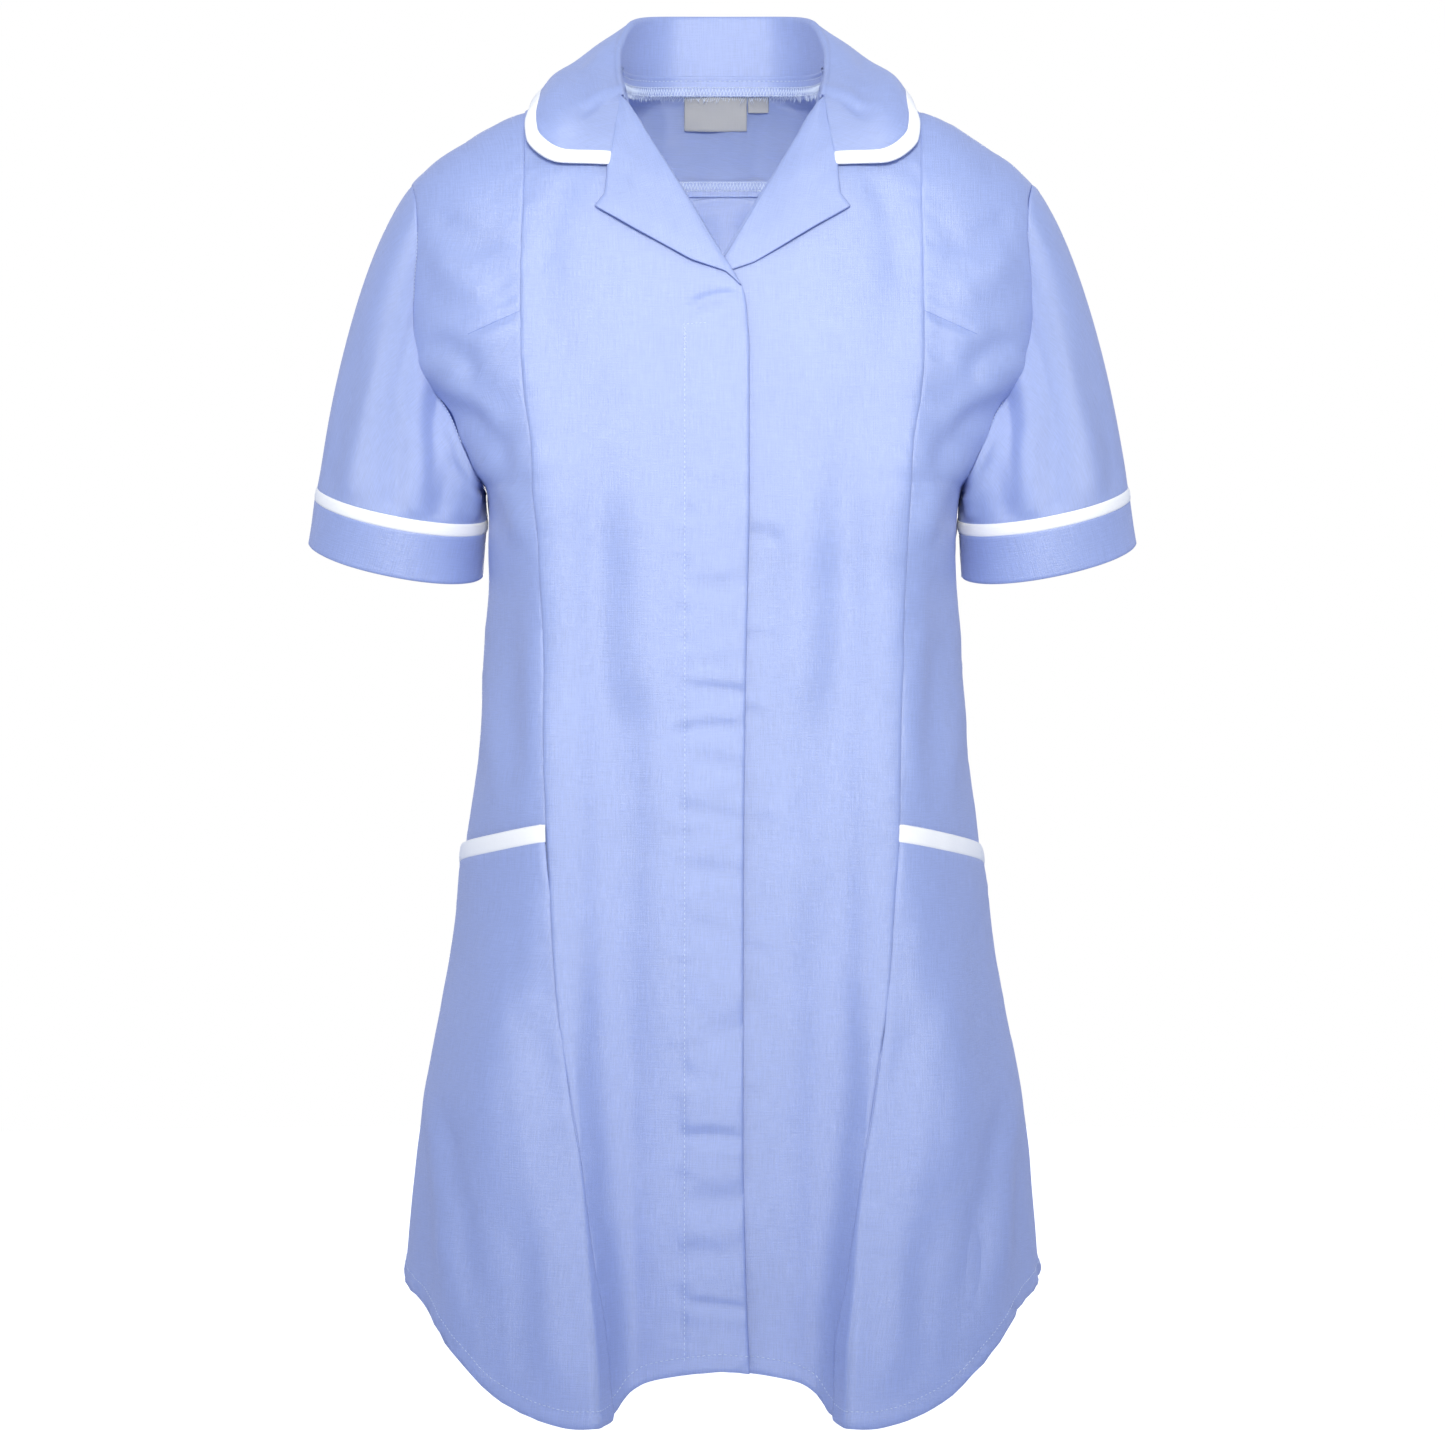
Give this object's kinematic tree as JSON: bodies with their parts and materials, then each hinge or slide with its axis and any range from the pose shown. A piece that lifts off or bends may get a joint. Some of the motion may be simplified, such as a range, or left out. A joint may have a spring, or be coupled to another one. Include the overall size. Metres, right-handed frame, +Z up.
{
  "type": "maternity tunic",
  "caption": "Short-sleeved maternity work tunic with a turned-back open collar, hidden front closure, shaped panels, bound patch pockets and a curved flared hem.",
  "frame": {"origin": "midway between the two shoulder neck points, where the shoulder seams meet the neck seam, level with them", "axes": "+Z up the body, +X towards the wearer's left, -Y out of the front"},
  "size_m": [0.53, 0.3447, 0.8874],
  "materials": {
    "tunic_cloth": "fine plain weave with a soft sheen",
    "white_binding": "matt folded binding",
    "grey_label": "smooth woven label"
  },
  "bodies": {
    "root": {"front_right": "tunic_cloth", "front_left": "tunic_cloth", "side_front_left": "tunic_cloth", "side_front_right": "tunic_cloth", "fly_facing": "tunic_cloth", "yoke": "tunic_cloth", "back": "tunic_cloth", "pocket_left": "tunic_cloth", "pocket_right": "tunic_cloth", "lapel_left": "tunic_cloth", "lapel_right": "tunic_cloth", "collar": "tunic_cloth", "sleeve_left": "tunic_cloth", "sleeve_right": "tunic_cloth", "cuff_left": "tunic_cloth", "cuff_right": "tunic_cloth", "pocket_trim_left": "white_binding", "pocket_trim_right": "white_binding", "collar_trim": "white_binding", "cuff_trim_left": "white_binding", "cuff_trim_right": "white_binding", "label_main": "grey_label", "label_size": "grey_label"}
  },
  "joints": []
}
